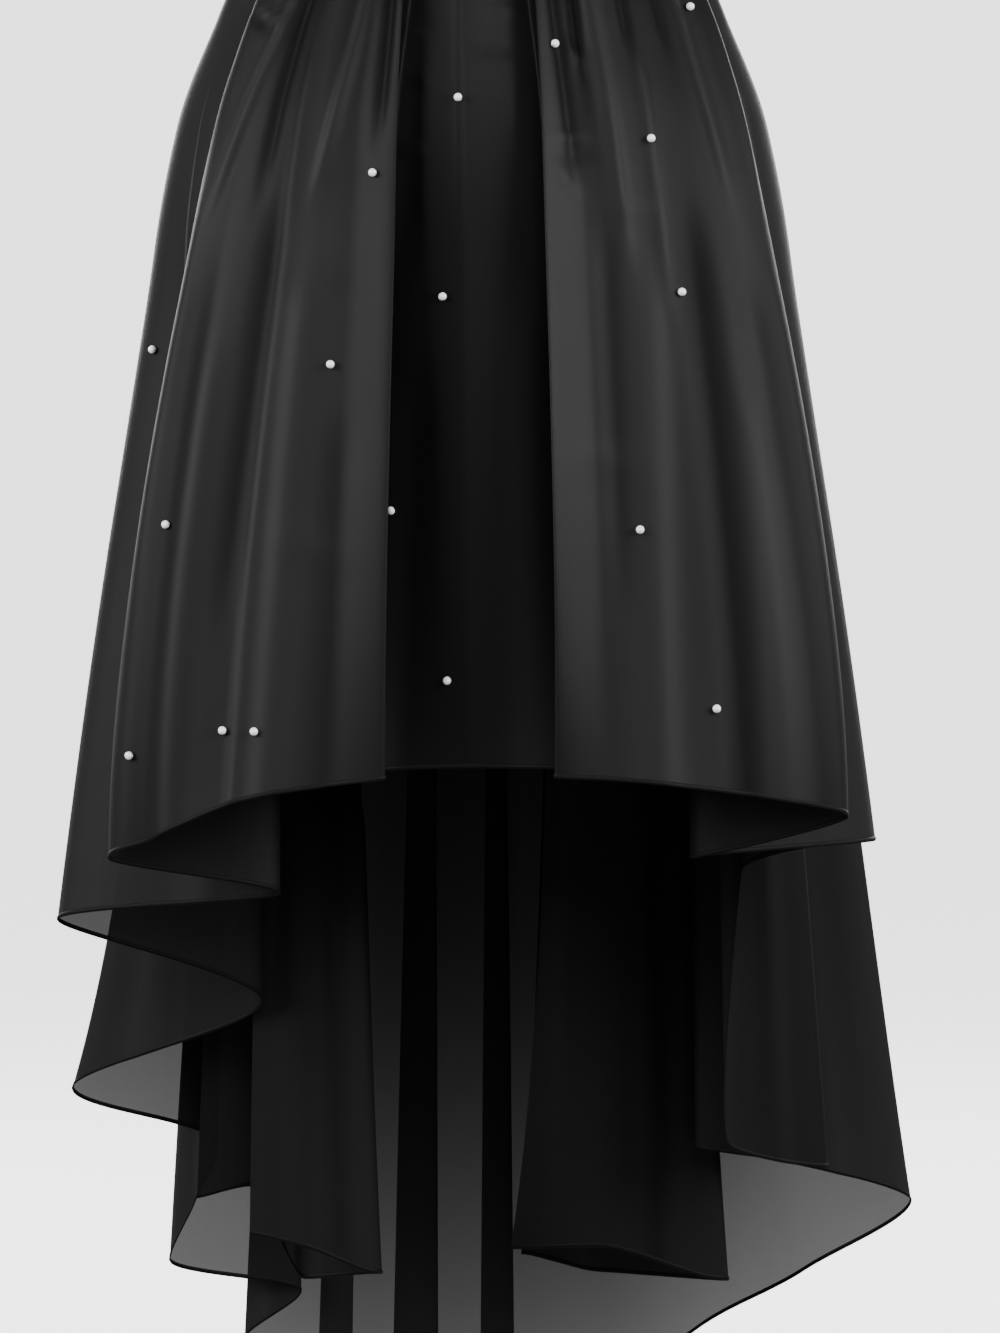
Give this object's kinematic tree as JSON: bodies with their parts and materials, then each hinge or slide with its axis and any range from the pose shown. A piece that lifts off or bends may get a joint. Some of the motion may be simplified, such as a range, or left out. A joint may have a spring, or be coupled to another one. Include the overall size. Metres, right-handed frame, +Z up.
{
  "type": "high-low skirt",
  "caption": "Hollow high-low skirt: box-pleated sheer overlay, short at the front and falling in deep flutes to a long back, over a short lining, on a plain waistband.",
  "frame": {"origin": "centre of the waist seam, where the waistband meets the skirt and the wearer's waist holds it", "axes": "+Z up through the waist, -Y to the front of the skirt, +X to the right of someone who faces it"},
  "size_m": [0.5595, 0.5168, 1.0433],
  "materials": {
    "waistband": "black organza folded over firm black cloth",
    "organza": "sheer black organza with a faint silky sheen and narrow rolled hems",
    "lining": "opaque dull black lining"
  },
  "bodies": {
    "root": {"waistband": "waistband", "overlay_front": "organza", "overlay_back": "organza", "inner_layer_left": "organza", "inner_layer_right": "organza", "lining_front": "lining", "lining_back": "lining"}
  },
  "joints": []
}
